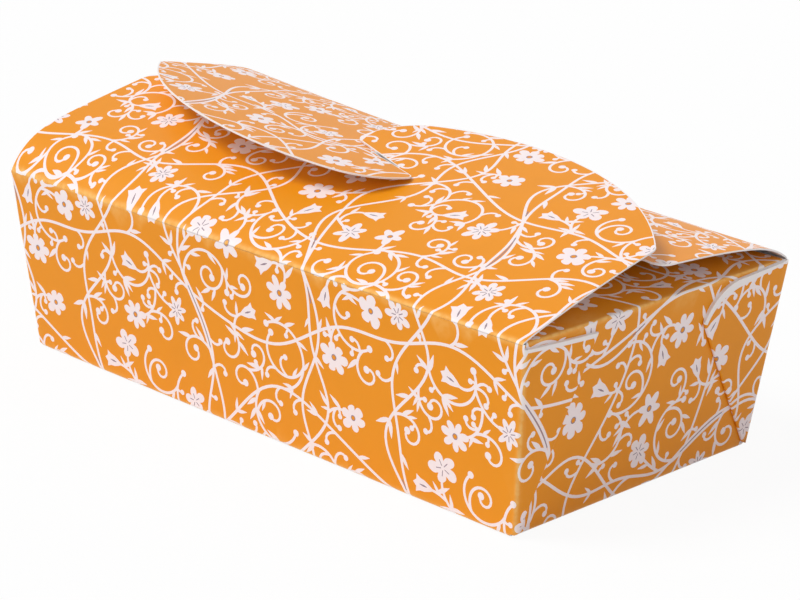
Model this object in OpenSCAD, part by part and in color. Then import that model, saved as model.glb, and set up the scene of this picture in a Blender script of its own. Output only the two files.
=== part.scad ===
// Folding bakery box of coated board, made from one sheet: a flared tray with glued
// corner webs, two end flaps tucked inwards and two long bowed flaps whose S-shaped
// edges interleave over the middle. Origin at the middle of the base, X along the
// length, Y towards the back, Z up.

/* [Tray] */
// Length of the base, outside
base_length = 203; // [150:1:260]
// Depth of the base, outside
base_depth = 102; // [90:1:130]
// Height from the base to the top creases
wall_height = 58; // [40:1:80]
// How far each wall leans out at its top
wall_flare = 6; // [2:0.5:10]
// Thickness of the board
board = 0.5; // [0.3:0.05:0.8]
// Outside radius of the upright folds
fold_radius = 1.2; // [1:0.1:2]

/* [Corner webs] */
// How far the rounded web reaches in from its corner
rounded_web_reach = 37; // [25:1:42]
// How far its inner point lies below the top crease
rounded_web_drop = 12; // [8:1:16]
// Radius that rounds its inner top
rounded_web_radius = 16; // [14:1:24]
// How far its cut edge falls before the round begins
rounded_web_fall = 1.4; // [1:0.1:3]
// How far the straight web reaches in from its corner
straight_web_reach = 30; // [20:1:42]
// How far its cut edge lies below the top crease at the corner and at its inner point
straight_web_drop = [1.6, 3.4]; // [1:0.2:6]

/* [End flaps] */
// Length of an end flap, measured inwards
end_flap_length = 48; // [30:1:60]
// How far each side of an end flap tapers in
end_flap_taper = 15; // [12:1:25]
// Step in from the corner where an end flap begins
end_flap_step = 3.5; // [3:0.5:6]
// Radius of an end flap's free corners
end_flap_corner = 12; // [6:1:16]
// Angle at which an end flap leaves its crease, before its bow levels it out
end_flap_angle = 5; // [3:0.5:5.5]
// How much each face of the board is pressed in along the fold of an end flap
crease_press = 0.05; // [0.02:0.01:0.1]

/* [Long flaps] */
// How far a lobe reaches past the middle of the box
lobe_overlap = 31; // [27:1:36]
// Where along the box the lobe reaches furthest, from the middle
lobe_peak = 30; // [24:1:40]
// Radius of the lobe's inner end, at the crossing
lobe_round = 16; // [12:1:20]
// How far short of the middle the straight end edge beside the lobe stops
tip_short = 5.5; // [2:0.5:10]
// Radius of the lobe's outer tip
tip_radius = 4; // [3:0.5:6]
// How far short of the middle the narrow half stops beside the crossing
narrow_short = 6; // [5:0.5:9]
// How far past the middle its outer end reaches
narrow_end_over = 1; // [-1:0.5:1.5]
// Radius of the hollow corner at the crossing
crossing_fillet = 4; // [3:0.5:6]
// Gap between the two S-shaped edges where they cross
crossing_gap = 1; // [0.8:0.1:1.5]
// Running gap between a flap's root and the wall under it
hinge_gap = 0.1; // [0.05:0.01:0.2]

/* [Bow of the flaps] */
// Height of the front flap's shoulder at its narrow end, middle and lobe end
front_shoulder = [10, 2.8, 0.4]; // [0:0.1:12]
// Slope of the front flap beyond its shoulder, at its narrow end and lobe end
front_slope = [0.21, 0.33]; // [0.15:0.01:0.4]
// Sag of the front flap for each square millimetre, at its two ends
front_sag = [0, 0.0011]; // [0:0.0001:0.002]
// Height of the back flap's shoulder at its narrow end, middle and lobe end
back_shoulder = [4.4, 8.6, 15.6]; // [3:0.1:18]
// Slope of the back flap beyond its shoulder, at its narrow end and lobe end
back_slope = [0.13, 0.19]; // [0.1:0.01:0.3]
// Sag of the back flap for each square millimetre, at its two ends
back_sag = [0.0008, 0]; // [0:0.0001:0.002]
// Distance over which a flap bends away from its crease
shoulder_run = 4; // [3:0.5:6]

/* [Hidden] */
$fn = 96;

orange = [0.93, 0.56, 0.16];
top_orange = [0.97, 0.64, 0.24];

// The tray at its top creases, and how its walls lean
top_length = base_length + 2 * wall_flare;
top_depth = base_depth + 2 * wall_flare;
grow = wall_flare / wall_height;
lean = atan(grow);
web_thickness = 2 * board;
long_wall_top = wall_height - board / 2 - hinge_gap;

// Where a long flap's crease and end lie, and how far it reaches in from the crease
hinge_y = top_depth / 2 - board / 2;
flap_end = top_length / 2 - board / 2;
crossing_half = crossing_gap / 2;
lobe_reach = hinge_y + lobe_overlap;
tip_reach = hinge_y - tip_short;
narrow_reach = hinge_y - narrow_short;
narrow_end_reach = hinge_y + narrow_end_over;
// How far, as a share of its radius, the lobe's inner round lies clear of the crossing
inner_lean = 0.05;

// Facets of the folds and arcs, and rows of a flap, which crowd towards its crease
fold_faces = 32;
corner_steps = 5;
round_steps = 9;
lobe_steps = 13;
web_steps = 16;
fold_steps = 8;
bow_steps = 16;
flap_corner_steps = 12;
flap_rows = 14;
row_power = 2;
// Points of an edge lie at least this far apart, and slopes are taken over this distance
least_step = 0.02;
slope_step = 0.01;

// Point at an angle on a circle
function on_circle(centre, radius, angle) =
    centre + radius * [cos(angle), sin(angle)];

// Points along an arc, ends included
function arc(centre, radius, from, to, steps) =
    [for (i = [0:steps]) on_circle(centre, radius, from + (to - from) * i / steps)];

// Points along a straight line, both ends left out
function between(a, b, steps) =
    [for (i = [1:steps - 1]) a + (b - a) * i / steps];

// The lobe's long edge is one arc that peaks at lobe_reach and runs tangent into the tip
tip_centre = [flap_end - tip_radius, tip_reach];
tip_run = tip_centre[0] - lobe_peak;
tip_rise = lobe_reach - tip_reach;
lobe_radius = (tip_run ^ 2 + tip_rise ^ 2 - tip_radius ^ 2) / (2 * (tip_rise - tip_radius));
lobe_centre = [lobe_peak, lobe_reach - lobe_radius];

// The lobe's inner end is a smaller arc that is tangent to the long one
inner_x = crossing_half + (1 + inner_lean) * lobe_round;
inner_off = lobe_peak - inner_x;
inner_centre = [
    inner_x,
    lobe_centre[1] + sqrt((lobe_radius - lobe_round) ^ 2 - inner_off ^ 2)
];
tip_angle = atan2(tip_centre[1] - lobe_centre[1], tip_centre[0] - lobe_centre[0]);
inner_angle = atan2(inner_centre[1] - lobe_centre[1], inner_centre[0] - lobe_centre[0]);

// The narrow half ends in a small round corner and meets the lobe in a hollow one
narrow_corner = [-flap_end + tip_radius, narrow_end_reach - tip_radius];
hollow_centre = [crossing_half - crossing_fillet, narrow_reach + crossing_fillet];

// Free edge of a flap in plan, from its narrow end to its lobe end: [along, in from crease]
flap_edge = concat(
    arc(narrow_corner, tip_radius, 180, 90, corner_steps),
    between(narrow_corner + [0, tip_radius], hollow_centre - [0, crossing_fillet], round_steps),
    arc(hollow_centre, crossing_fillet, -90, 0, corner_steps),
    arc(inner_centre, lobe_round, 180, inner_angle, round_steps),
    arc(lobe_centre, lobe_radius, inner_angle, tip_angle, lobe_steps),
    arc(tip_centre, tip_radius, tip_angle, 0, corner_steps)
);

// Edge points that are apart from the one before, so that no face is a sliver
flap_columns = [
    for (i = [0:len(flap_edge) - 1])
        if (i == 0 || norm(flap_edge[i] - flap_edge[i - 1]) > least_step) flap_edge[i]
];

// How far along a flap a place lies: 0 at its narrow end and 1 at its lobe end
function along(x) = (x + flap_end) / (2 * flap_end);

// Curve through three values at the two ends and the middle
function through(three, t) =
    three[0] * (1 - t) * (1 - 2 * t) + three[1] * 4 * t * (1 - t) + three[2] * t * (2 * t - 1);

// Straight change between two end values
function from_to(two, t) = two[0] + (two[1] - two[0]) * t;

// Height of a bowed flap above its crease. It bends up over a rounded shoulder, then
// climbs at a slope that a slight sag flattens.
function flap_lift(p, bow) =
    let (t = along(p[0]), d = p[1])
    through(bow[0], t) * (1 - exp(-d / shoulder_run))
        + from_to(bow[1], t) * d - from_to(bow[2], t) * d ^ 2;

// Middle of the board at a place in plan
function flap_point(p, bow) = [p[0], p[1] - hinge_y, wall_height + flap_lift(p, bow)];

// Upward direction square to the board at a place in plan
function flap_normal(p, bow) =
    let (
        e = slope_step,
        along_x = flap_point(p + [e, 0], bow) - flap_point(p - [e, 0], bow),
        along_y = flap_point(p + [0, e], bow) - flap_point(p - [0, e], bow),
        n = cross(along_x, along_y)
    )
    n / norm(n);

// One face of the flap, as rows from the crease to the edge, column by column
function flap_skin(bow, side) = [
    for (c = flap_columns)
        for (j = [0:flap_rows])
            let (p = [c[0], c[1] * (j / flap_rows) ^ row_power])
            flap_point(p, bow) + side * board / 2 * flap_normal(p, bow)
];

// A long flap: a bowed sheet of even thickness inside the S-shaped outline
module long_flap(bow) {
    columns = len(flap_columns);
    stride = flap_rows + 1;
    top = flap_skin(bow, 1);
    under = flap_skin(bow, -1);
    base = len(top);
    cells = [for (i = [0:columns - 2]) for (j = [0:flap_rows - 1]) i * stride + j];
    upper = [for (k = cells) each [[k, k + 1, k + stride + 1], [k, k + stride + 1, k + stride]]];
    lower = [for (f = upper) [f[2] + base, f[1] + base, f[0] + base]];
    last = (columns - 1) * stride;
    rim = concat(
        [for (i = [0:columns - 1]) i * stride],
        [for (j = [1:flap_rows]) last + j],
        [for (i = [1:columns - 1]) last - i * stride + flap_rows],
        [for (j = [1:flap_rows - 1]) flap_rows - j]
    );
    sides = [
        for (i = [0:len(rim) - 1])
            let (a = rim[i], b = rim[(i + 1) % len(rim)])
            each [[a, b, b + base], [a, b + base, a + base]]
    ];
    polyhedron(points = concat(top, under), faces = concat(upper, lower, sides));
}

// Half of the tray's plan at a height, drawn in by an inset
function half_plan(z, inset) = [
    base_length / 2 + grow * z - inset[0],
    base_depth / 2 + grow * z - inset[1]
];

// Solid with the tray's flared sides between two heights, drawn in by an inset
module flared_block(inset, from_z, to_z, radius) {
    low = half_plan(from_z, inset);
    high = half_plan(to_z, inset);
    translate([0, 0, from_z])
        linear_extrude(to_z - from_z, scale = [high[0] / low[0], high[1] / low[1]], slices = 1)
            rounded_plan(2 * low, radius);
}

// Rectangle with round corners
module rounded_plan(size, radius) {
    for (x = [-1, 1], y = [-1, 1])
        translate([x * (size[0] / 2 - radius), y * (size[1] / 2 - radius)])
            circle(radius, $fn = fold_faces);
    square([size[0] - 2 * radius, size[1]], center = true);
    square([size[0], size[1] - 2 * radius], center = true);
}

// Bottom and four leaning walls, folded from the sheet. The long walls turn the upright
// corners and end as webs that lie double on the end panels.
module tray() {
    difference() {
        flared_block([-web_thickness, 0], 0, long_wall_top, fold_radius);
        flared_block([board, board], board, wall_height + board, fold_radius / 2);
        for (turn = [0, 180])
            rotate([0, 0, turn])
                bare_panel();
    }
}

// Everything outside the right end panel that its two webs leave free. It is drawn as
// seen from the right, across the depth and up, and leans with the panel.
module bare_panel() {
    translate([base_length / 2, 0, 0])
        multmatrix([[1, 0, grow, 0], [0, 1, 0, 0], [0, 0, 1, 0]])
            rotate([90, 0, 90])
                linear_extrude(2 * web_thickness)
                    polygon(concat(
                        straight_web_edge,
                        rounded_web_edge,
                        [[half_top, past_top], [-half_top, past_top]]
                    ));
}

// Half the depth at the top and the height of the top, each with a little to spare
half_top = top_depth / 2 + board;
past_top = wall_height + web_thickness;

// Inner edge of the straight web at the front corner, from the corner down to its foot
straight_web_edge = [
    [-half_top, wall_height - straight_web_drop[0]],
    [straight_web_reach - top_depth / 2, wall_height - straight_web_drop[1]],
    [fold_radius - base_depth / 2, 0],
    [fold_radius - base_depth / 2, -board]
];

// Inner edge of the rounded web at the back corner, from its foot up and round to the corner
rounded_web_below = rounded_web_radius + rounded_web_fall - rounded_web_drop;
rounded_web_centre = [
    top_depth / 2 - rounded_web_reach + sqrt(rounded_web_radius ^ 2 - rounded_web_below ^ 2),
    wall_height - rounded_web_fall - rounded_web_radius
];
rounded_web_edge = concat(
    [[base_depth / 2 - fold_radius, -board], [base_depth / 2 - fold_radius, 0]],
    arc(
        rounded_web_centre, rounded_web_radius,
        180 - asin(rounded_web_below / rounded_web_radius), 90, web_steps
    ),
    [[half_top, wall_height]]
);

// Flap tucked inwards from an end panel, with the round fold that joins them. It is
// narrower at its free end.
module end_flap() {
    half_width = top_depth / 2 - end_flap_step;
    intersection() {
        translate([0, half_width, 0])
            rotate([90, 0, 0])
                linear_extrude(2 * half_width)
                    polygon(end_flap_section);
        translate([top_length / 2, 0, 0])
            linear_extrude(2 * wall_height)
                end_flap_plan(half_width);
    }
}

// Section of an end flap: up out of the panel, round the fold, and along a shallow bow
// that levels out at the free end. The middle of the board turns on a radius of its
// thickness, and is pressed thinner round the fold.
fold_drop = 3 * board / 2;
fold_centre = [
    top_length / 2 - board / 2 - grow * fold_drop - board * cos(lean),
    wall_height - fold_drop
];
flap_bow = (end_flap_length - board) / sin(end_flap_angle);
bow_centre = on_circle(fold_centre, board - flap_bow, 90 - end_flap_angle);
pressed = board / 2 - crease_press;
wall_down = -web_thickness * [sin(lean), cos(lean)];
fold_outside = arc(fold_centre, board + pressed, -lean, 90 - end_flap_angle, fold_steps);
fold_inside = arc(fold_centre, board - pressed, 90 - end_flap_angle, -lean, fold_steps);
bow_top = arc(bow_centre, flap_bow + board / 2, 90 - end_flap_angle, 90, bow_steps);
bow_under = arc(bow_centre, flap_bow - board / 2, 90, 90 - end_flap_angle, bow_steps);
end_flap_section = concat(
    [fold_outside[0] + wall_down],
    fold_outside,
    [for (i = [1:bow_steps]) bow_top[i]],
    [for (i = [0:bow_steps - 1]) bow_under[i]],
    fold_inside,
    [fold_inside[fold_steps] + wall_down]
);

// Outline of an end flap in plan, from its crease inwards
module end_flap_plan(half_width) {
    r = end_flap_corner;
    tip = half_width - end_flap_taper;
    polygon(concat(
        [[0, -half_width], [0, half_width]],
        arc([-end_flap_length + r, tip - r], r, 90, 180, flap_corner_steps),
        arc([-end_flap_length + r, r - tip], r, 180, 270, flap_corner_steps)
    ));
}

// The folded sheet without its long flaps
module carton_body() {
    color(orange) {
        tray();
        for (turn = [0, 180])
            rotate([0, 0, turn])
                end_flap();
    }
}

// Front flap, with its lobe to the right
module front_flap() {
    color(top_orange)
        long_flap([front_shoulder, front_slope, front_sag]);
}

// Back flap, the same outline turned end for end, with its lobe to the left
module back_flap() {
    color(top_orange)
        rotate([0, 0, 180])
            long_flap([back_shoulder, back_slope, back_sag]);
}

carton_body();
front_flap();
back_flap();
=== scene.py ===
"""Looks of a folded bakery box of printed board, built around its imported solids.

The box is one flat blank that is folded up. Each sheet below is a part of that blank: its
outline and its print are laid out flat, in millimetres, and a chain of round bends carries
every point of it to its place. The base lies in the plane z = 0 with its print facing down,
the walls fold up along its edges, and the long flaps lie on top in a bow.
"""

import logging
import math
from dataclasses import dataclass, field
from enum import Enum, IntEnum
from typing import Callable

import bpy
import numpy as np
from mathutils import Matrix, Vector
from mathutils.geometry import delaunay_2d_cdt

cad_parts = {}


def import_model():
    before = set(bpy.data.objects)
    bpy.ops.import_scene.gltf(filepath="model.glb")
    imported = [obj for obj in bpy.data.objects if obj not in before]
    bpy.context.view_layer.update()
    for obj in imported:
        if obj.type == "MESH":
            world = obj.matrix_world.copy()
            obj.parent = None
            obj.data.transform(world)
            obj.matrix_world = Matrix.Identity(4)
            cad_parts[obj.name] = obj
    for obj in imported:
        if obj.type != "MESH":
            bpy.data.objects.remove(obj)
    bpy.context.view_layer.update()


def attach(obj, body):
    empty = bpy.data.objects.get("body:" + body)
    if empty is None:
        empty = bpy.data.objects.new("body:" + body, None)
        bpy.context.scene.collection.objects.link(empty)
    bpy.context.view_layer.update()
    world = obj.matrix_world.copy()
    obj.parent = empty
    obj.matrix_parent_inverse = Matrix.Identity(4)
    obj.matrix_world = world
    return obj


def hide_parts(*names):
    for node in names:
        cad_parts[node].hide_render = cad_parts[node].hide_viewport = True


Array = np.ndarray
Span = tuple[float, float]
Colour = tuple[float, float, float]
log = logging.getLogger("bakery_box")
MM = 0.001


class Ink(IntEnum):
    """Material slots of a sheet, in slot order."""

    ORANGE = 0
    WHITE = 1
    LILAC = 2
    BOARD = 3


class Side(Enum):
    """Which half of the box a sheet belongs to. The back is the front turned half round."""

    FRONT = 1.0
    BACK = -1.0


# Sizes


@dataclass(frozen=True)
class BoxSizes:
    """Sizes of the folded box in millimetres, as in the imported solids."""

    base_length: float = 203.0
    base_depth: float = 102.0
    wall_height: float = 58.0
    wall_flare: float = 6.0
    board: float = 0.5
    fold_radius: float = 1.2
    web_outside: float = 1.005

    @property
    def lean(self) -> float:
        """Angle by which a wall leans outwards, in radians."""
        return math.atan(self.wall_flare / self.wall_height)

    @property
    def slant(self) -> float:
        """Length of a wall from its bottom crease to its top crease."""
        return self.wall_height / math.cos(self.lean)

    @property
    def skew(self) -> float:
        """Angle in a wall's own plane between its upright edge and the square direction."""
        return math.atan(self.wall_flare / self.slant)

    @property
    def half_depth(self) -> float:
        """Half the base's depth."""
        return self.base_depth / 2

    @property
    def half_length(self) -> float:
        """Half the base's length."""
        return self.base_length / 2

    @property
    def top_half_depth(self) -> float:
        """Half the depth between the long walls' outer faces at the top creases."""
        return self.half_depth + self.wall_flare

    @property
    def top_half_length(self) -> float:
        """Half the length between the end panels' outer faces at the top creases."""
        return self.half_length + self.wall_flare


SIZES = BoxSizes()


# Curves


def arc(centre: Array, radius: float, start: float, stop: float, count: int) -> Array:
    """Points along a circle: centre + radius (cos a, sin a), a running evenly in degrees.

    Args:
        centre: Middle of the circle.
        radius: Its radius.
        start: First angle in degrees.
        stop: Last angle in degrees.
        count: Number of points, both ends included.

    Returns:
        The points, one row each.
    """
    a = np.radians(np.linspace(start, stop, count))
    return np.asarray(centre, float) + radius * np.stack([np.cos(a), np.sin(a)], 1)


def reflected(points: Array, origin: Array, along: Array) -> Array:
    """Mirror image across a line: the part of p - o along the line stays, the rest turns.

    Args:
        points: Points in the plane, one row each.
        origin: A point of the line.
        along: Unit direction of the line.

    Returns:
        The mirrored points.
    """
    d = points - origin
    return origin + 2 * (d @ along)[:, None] * along - d


def margin(line: Array, widths: Array | float) -> Array:
    """Outline of a strip along a line, which lies half to each side of it.

    Args:
        line: Points of the line.
        widths: Width of the strip, one value or one for each point.

    Returns:
        The closed outline.
    """
    t = np.gradient(line, axis=0)
    t /= np.linalg.norm(t, axis=1)[:, None]
    n = np.stack([-t[:, 1], t[:, 0]], 1) * np.broadcast_to(widths, len(line))[:, None] / 2
    return np.concatenate([line - n, (line + n)[::-1]])


def way_at_end(line: Array) -> Array:
    """Unit direction in which a line ends."""
    last = line[-1] - line[-2]
    return last / np.linalg.norm(last)


def without_repeats(points: Array, least: float = 0.02) -> Array:
    """Thins a closed outline.

    Args:
        points: The outline, one row a point.
        least: Least distance of a point from the one before it.

    Returns:
        The outline without the points that lie closer.
    """
    step = np.linalg.norm(points - np.roll(points, 1, axis=0), axis=1)
    return points[step > least]


# Bends


@dataclass(frozen=True)
class Bend:
    """Round fold of the blank about a straight crease, away from its print side.

    With q the distance of a point across the crease and h its height on the print side, the
    sheet turns evenly by angle while q runs from -T to T, on a circle of radius R + h whose
    centre lies R under the print side. T is R tan(angle / 2), or R where the sheet folds
    flat on itself. Before -T nothing moves, and past T the sheet goes straight on. A gate is
    a point and a direction: the fold moves only what lies past every gate.
    """

    origin: Array
    along: Array
    across: Array
    outward: Array
    radius: float
    angle: float
    gates: tuple[tuple[Array, Array], ...] = ()

    @property
    def reach(self) -> float:
        """Distance T from the crease at which the round begins."""
        flat = self.angle > math.radians(170)
        return self.radius if flat else self.radius * math.tan(self.angle / 2)

    def __call__(self, p: Array) -> Array:
        """Bends points.

        Args:
            p: Points in space, one row each.

        Returns:
            Their places after the fold.
        """
        reach, radius, angle = self.reach, self.radius, self.angle
        d = p - self.origin
        w, q, h = d @ self.along, d @ self.across, d @ self.outward
        moves = q > -reach
        for place, way in self.gates:
            moves &= (p - place) @ way > 0
        turn = np.clip((q + reach) / (2 * reach), 0, 1) * angle
        past = np.maximum(q - reach, 0)
        across = -reach + (radius + h) * np.sin(turn) + past * math.cos(angle)
        outward = -radius + (radius + h) * np.cos(turn) - past * math.sin(angle)
        bent = (
            self.origin
            + w[:, None] * self.along
            + across[:, None] * self.across
            + outward[:, None] * self.outward
        )
        return np.where(moves[:, None], bent, p)

    def guides(self, low: float, high: float, count: int = 7) -> list[Array]:
        """Lines in the blank along the round of the fold, which keep its mesh fine.

        Args:
            low: Where the lines begin along the crease.
            high: Where they end.
            count: Number of lines.

        Returns:
            One pair of points a line.
        """
        o, a, c = self.origin[:2], self.along[:2], self.across[:2]
        return [
            np.array([o + low * a + q * c, o + high * a + q * c])
            for q in np.linspace(-self.reach, self.reach, count)
        ]


DOWN = np.array([0.0, 0.0, -1.0])


def flat_vector(x: float, y: float) -> Array:
    """Vector in the plane of the blank."""
    return np.array([x, y, 0.0])


# Print


# A bell's side: share of its length along it, and half its width there in the same measure
BELL_SIDE = np.array([
    [0.0, 0.06], [0.18, 0.15], [0.4, 0.24], [0.62, 0.27], [0.84, 0.38], [0.83, 0.16],
])


@dataclass
class VinePrint:
    """Scrolling vine that fills a repeat of the print, grown from seeded numbers.

    Pairs of wavy stems run up the repeat and form narrow eyes and wide loops, and single
    stems run across it. Branches leave them and end in spirals, flowers or bells, and buds
    and leaves fill what is left. A grid that wraps round the repeat keeps each new motif
    clear of the others. Lengths are in millimetres before the print is enlarged. Where a
    motif has a pair of sizes, it draws its own between the two.
    """

    repeat: Span = (118.0, 98.0)
    enlarged: float = 1.13
    cell: float = 0.4
    seed: int = 7
    stem: float = 0.84
    twig: float = 0.75
    line_room: float = 0.5
    point_step: float = 0.45
    stem_points: int = 121
    lanes: int = 3
    swing: Span = (6.5, 8.0)
    second_swing: float = 0.25
    second_phase: float = 1.3
    pair_shift: float = 0.37
    cross_shift: float = 0.41
    cross_start: float = 0.2
    loop_apart: float = 3.0
    eye_apart: float = 2.3
    eye: Span = (0.5, 1.15)
    eye_line: float = 0.34
    loop_radius: Span = (7.5, 11.0)
    loop_turn: float = 3.1
    spiral_radius: Span = (6.5, 9.5)
    spiral_eye: Span = (1.35, 1.75)
    spiral_length: Span = (17.0, 23.0)
    curl_length: Span = (5.0, 8.0)
    curl_eye: Span = (1.1, 1.5)
    bud_stalk: Span = (1.7, 2.4)
    flower_stalk: Span = (5.0, 13.0)
    flower_curve: Span = (0.02, 0.12)
    flower_radius: Span = (3.9, 4.9)
    petal_styles: tuple[Span, ...] = ((0.5, 0.42), (0.75, 0.5), (1.5, 0.5))
    heart: Span = (0.2, 0.14)
    vein: Span = (0.14, 0.5)
    vein_width: float = 0.24
    bell_stalk: Span = (4.0, 11.0)
    bell_curve: Span = (0.05, 0.2)
    bell_length: Span = (6.2, 8.0)
    leaf_length: Span = (3.2, 5.4)
    leaf_lean: Span = (0.35, 0.75)
    leaf_share: float = 0.13
    white: list[Array] = field(default_factory=list)
    lilac: list[Array] = field(default_factory=list)
    holes: list[Array] = field(default_factory=list)
    anchors: list[Array] = field(default_factory=list)

    def __post_init__(self) -> None:
        """Sets up the random numbers and the empty grid."""
        self.rng = np.random.default_rng(self.seed)
        self.taken = np.zeros([round(s / self.cell) for s in self.repeat], bool)

    def grow(self) -> "VinePrint":
        """Draws the whole repeat, large motifs first.

        Each row below is a kind of motif, how often it is tried and how many it stops at.

        Returns:
            The print itself.
        """
        self._stems()
        for maker, tries, most in (
            (self._loop, 400, 15),
            (self._flower, 1200, 16),
            (self._spiral, 900, 22),
            (self._bell, 1200, 14),
            (self._flower, 1500, 14),
            (self._spiral, 1200, 20),
            (self._bell, 1500, 12),
            (self._leaves, 500, 50),
            (self._curl, 1500, 46),
            (self._leaves, 2500, 90),
            (self._bud, 1500, 44),
        ):
            made = 0
            for _ in range(tries):
                made += maker()
                if made >= most:
                    break
            log.debug("%s: %d", maker.__name__, made)
        return self

    def _draw(self, span: Span) -> float:
        """Random value between the two of a span."""
        return self.rng.uniform(*span)

    def _cells(self, points: Array, radius: float) -> tuple[Array, Array]:
        """Cells of the wrapping grid that lie within a radius of points.

        Args:
            points: Places in the repeat, one row each.
            radius: Radius round each of them.

        Returns:
            Row and column numbers of the cells.
        """
        n = int(radius / self.cell) + 1
        disc = np.mgrid[-n : n + 1, -n : n + 1].reshape(2, -1).T
        disc = disc[np.hypot(disc[:, 0], disc[:, 1]) * self.cell <= radius]
        c = np.floor(points / self.cell).astype(int)[:, None, :] + disc[None]
        return c[..., 0] % self.taken.shape[0], c[..., 1] % self.taken.shape[1]

    def _claim(self, points: Array, room: float) -> None:
        """Marks the cells near points as taken."""
        self.taken[self._cells(points, room)] = True

    def _free(self, points: Array, room: float) -> bool:
        """Whether no cell near the points is taken."""
        return not self.taken[self._cells(points, room)].any()

    def _curve(self, start: Array, heading: float, length: float, bend: Span, power: float) -> Array:
        """Curve whose curvature runs from bend[0] to bend[1] as (s / length) ** power.

        The heading is the integral of the curvature along the length s, and the place is
        the integral of (cos heading, sin heading).

        Args:
            start: First point.
            heading: First direction in radians.
            length: Length along the curve.
            bend: Curvature at its start and at its end.
            power: How late the curvature changes.

        Returns:
            The points, about point_step apart.
        """
        count = max(int(length / self.point_step), 6)
        s = np.linspace(0, 1, count)
        k = bend[0] + (bend[1] - bend[0]) * s**power
        step = length / (count - 1)
        turn = heading + np.concatenate([[0], np.cumsum((k[1:] + k[:-1]) / 2) * step])
        mid = (turn[1:] + turn[:-1]) / 2
        moves = np.stack([np.cos(mid), np.sin(mid)], 1) * step
        return start + np.concatenate([[[0, 0]], np.cumsum(moves, 0)])

    def _stroke(self, line: Array, first: float, last: float) -> None:
        """Adds a white stroke that tapers from one width to another."""
        keep = np.concatenate([line[:-1:2], line[-1:]])
        self.white.append(margin(keep, np.linspace(first, last, len(keep))))

    def _head(self, line: Array, size: float) -> None:
        """Ends a stroke in a round bud."""
        self.white.append(arc(line[-1], size, 0, 330, 11))
        self._claim(line[-1:], size + 0.3)

    def _remember(self, line: Array) -> None:
        """Keeps places and headings along a stem, for later branches."""
        t = np.gradient(line, axis=0)
        self.anchors.append(np.column_stack([line, np.arctan2(t[:, 1], t[:, 0])])[3:-3:2])

    def _wave(self, swing: float, phase: float) -> tuple[Array, Array, Array, Array]:
        """Course of a stem or of a pair of stems.

        The middle lies at swing sin a + second_swing swing sin(2 a + second_phase), with
        a = 2 pi (u + phase). A stem lies (loop_apart - eye_apart cos a) sin(4 pi u + 2 pi
        phase) off it, which makes two wide loops and two narrow eyes.

        Args:
            swing: How far the middle swings to either side.
            phase: Where the wave begins, as a share of the repeat.

        Returns:
            The share u along the repeat, the angle a, the middle and the stem's distance
            from it.
        """
        u = np.linspace(0, 1, self.stem_points)
        angle = 2 * math.pi * (u + phase)
        second = np.sin(2 * angle + self.second_phase)
        middle = swing * np.sin(angle) + self.second_swing * swing * second
        off = (self.loop_apart - self.eye_apart * np.cos(angle)) * np.sin(4 * math.pi * (u + phase / 2))
        return u, angle, middle, off

    def _stem(self, line: Array) -> None:
        """Draws a stem, takes its room and keeps it for branches."""
        self._stroke(line, self.stem, self.stem)
        self._claim(line, self.line_room)
        self._remember(line)

    def _stems(self) -> None:
        """Pairs of stems up the repeat, with a thin line in their eyes, and stems across."""
        width, height = self.repeat
        for k in range(self.lanes):
            u, angle, middle, off = self._wave(self.swing[0], k * self.pair_shift)
            place = (k + 0.5) / self.lanes * width
            for side in (1, -1):
                self._stem(np.column_stack([place + (middle + side * off), u * height]))
            apart = np.abs(off)
            eye = (apart > self.eye[0]) & (apart < self.eye[1]) & (np.cos(angle) > 0.2)
            core = np.column_stack([place + middle, u * height])
            for run in np.split(np.arange(len(u)), np.flatnonzero(np.diff(eye)) + 1):
                if eye[run[0]] and len(run) > 3:
                    self.lilac.append(margin(core[run], self.eye_line))
        for k in range(self.lanes):
            u, _, middle, off = self._wave(self.swing[1], self.cross_start + k * self.cross_shift)
            place = (k + 0.5) / self.lanes * height
            self._stem(np.column_stack([u * width, place + (middle + off)]))

    def _anchor(self) -> tuple[Array, float]:
        """Random place on a stem, and one of the two headings along it."""
        line = self.anchors[self.rng.integers(len(self.anchors))]
        x, y, heading = line[self.rng.integers(len(line))]
        return np.array([x, y]), heading + math.pi * self.rng.integers(2)

    def _shoot(self, length: float, bend: Span, power: float, off: float) -> Array:
        """Curve that leaves a random place on a stem and bends away from it.

        Args:
            length: Its length.
            bend: Curvature at its start and end, away from the stem.
            power: How late the curvature changes.
            off: Angle off the stem in radians.

        Returns:
            The points of the curve.
        """
        place, heading = self._anchor()
        side = 1 - 2 * self.rng.integers(2)
        away = (side * bend[0], side * bend[1])
        return self._curve(place, heading + side * off, length, away, power)

    def _branch(
        self, length: float, bend: Span, power: float, lead: float, room: float, off: float
    ) -> Array | None:
        """Tries a branch that leaves a stem and keeps clear of everything else.

        Args:
            length: Its length.
            bend: Curvature at its start and end, away from the stem.
            power: How late the curvature changes.
            lead: Length at its root that may lie close to the stem.
            room: Clear distance that the rest needs.
            off: Angle off the stem in radians.

        Returns:
            The curve, or None where it has no room.
        """
        curve = self._shoot(length, bend, power, off)
        skip = int(lead / length * len(curve))
        return curve if self._free(curve[skip:], room) else None

    def _loop(self) -> bool:
        """Wide arc that leaves a stem and crosses others until it has gone half round.

        Returns:
            Whether it found room.
        """
        radius = self._draw(self.loop_radius)
        line = self._shoot(radius * self.loop_turn, (1 / radius, 1.25 / radius), power=1.0, off=0.3)
        if not self._free(line[8::4], room=0.1):
            return False
        self._stroke(line, self.stem, self.stem * 0.9)
        self._claim(line, self.line_room)
        self._remember(line)
        self._head(line, size=1.0)
        return True

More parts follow.
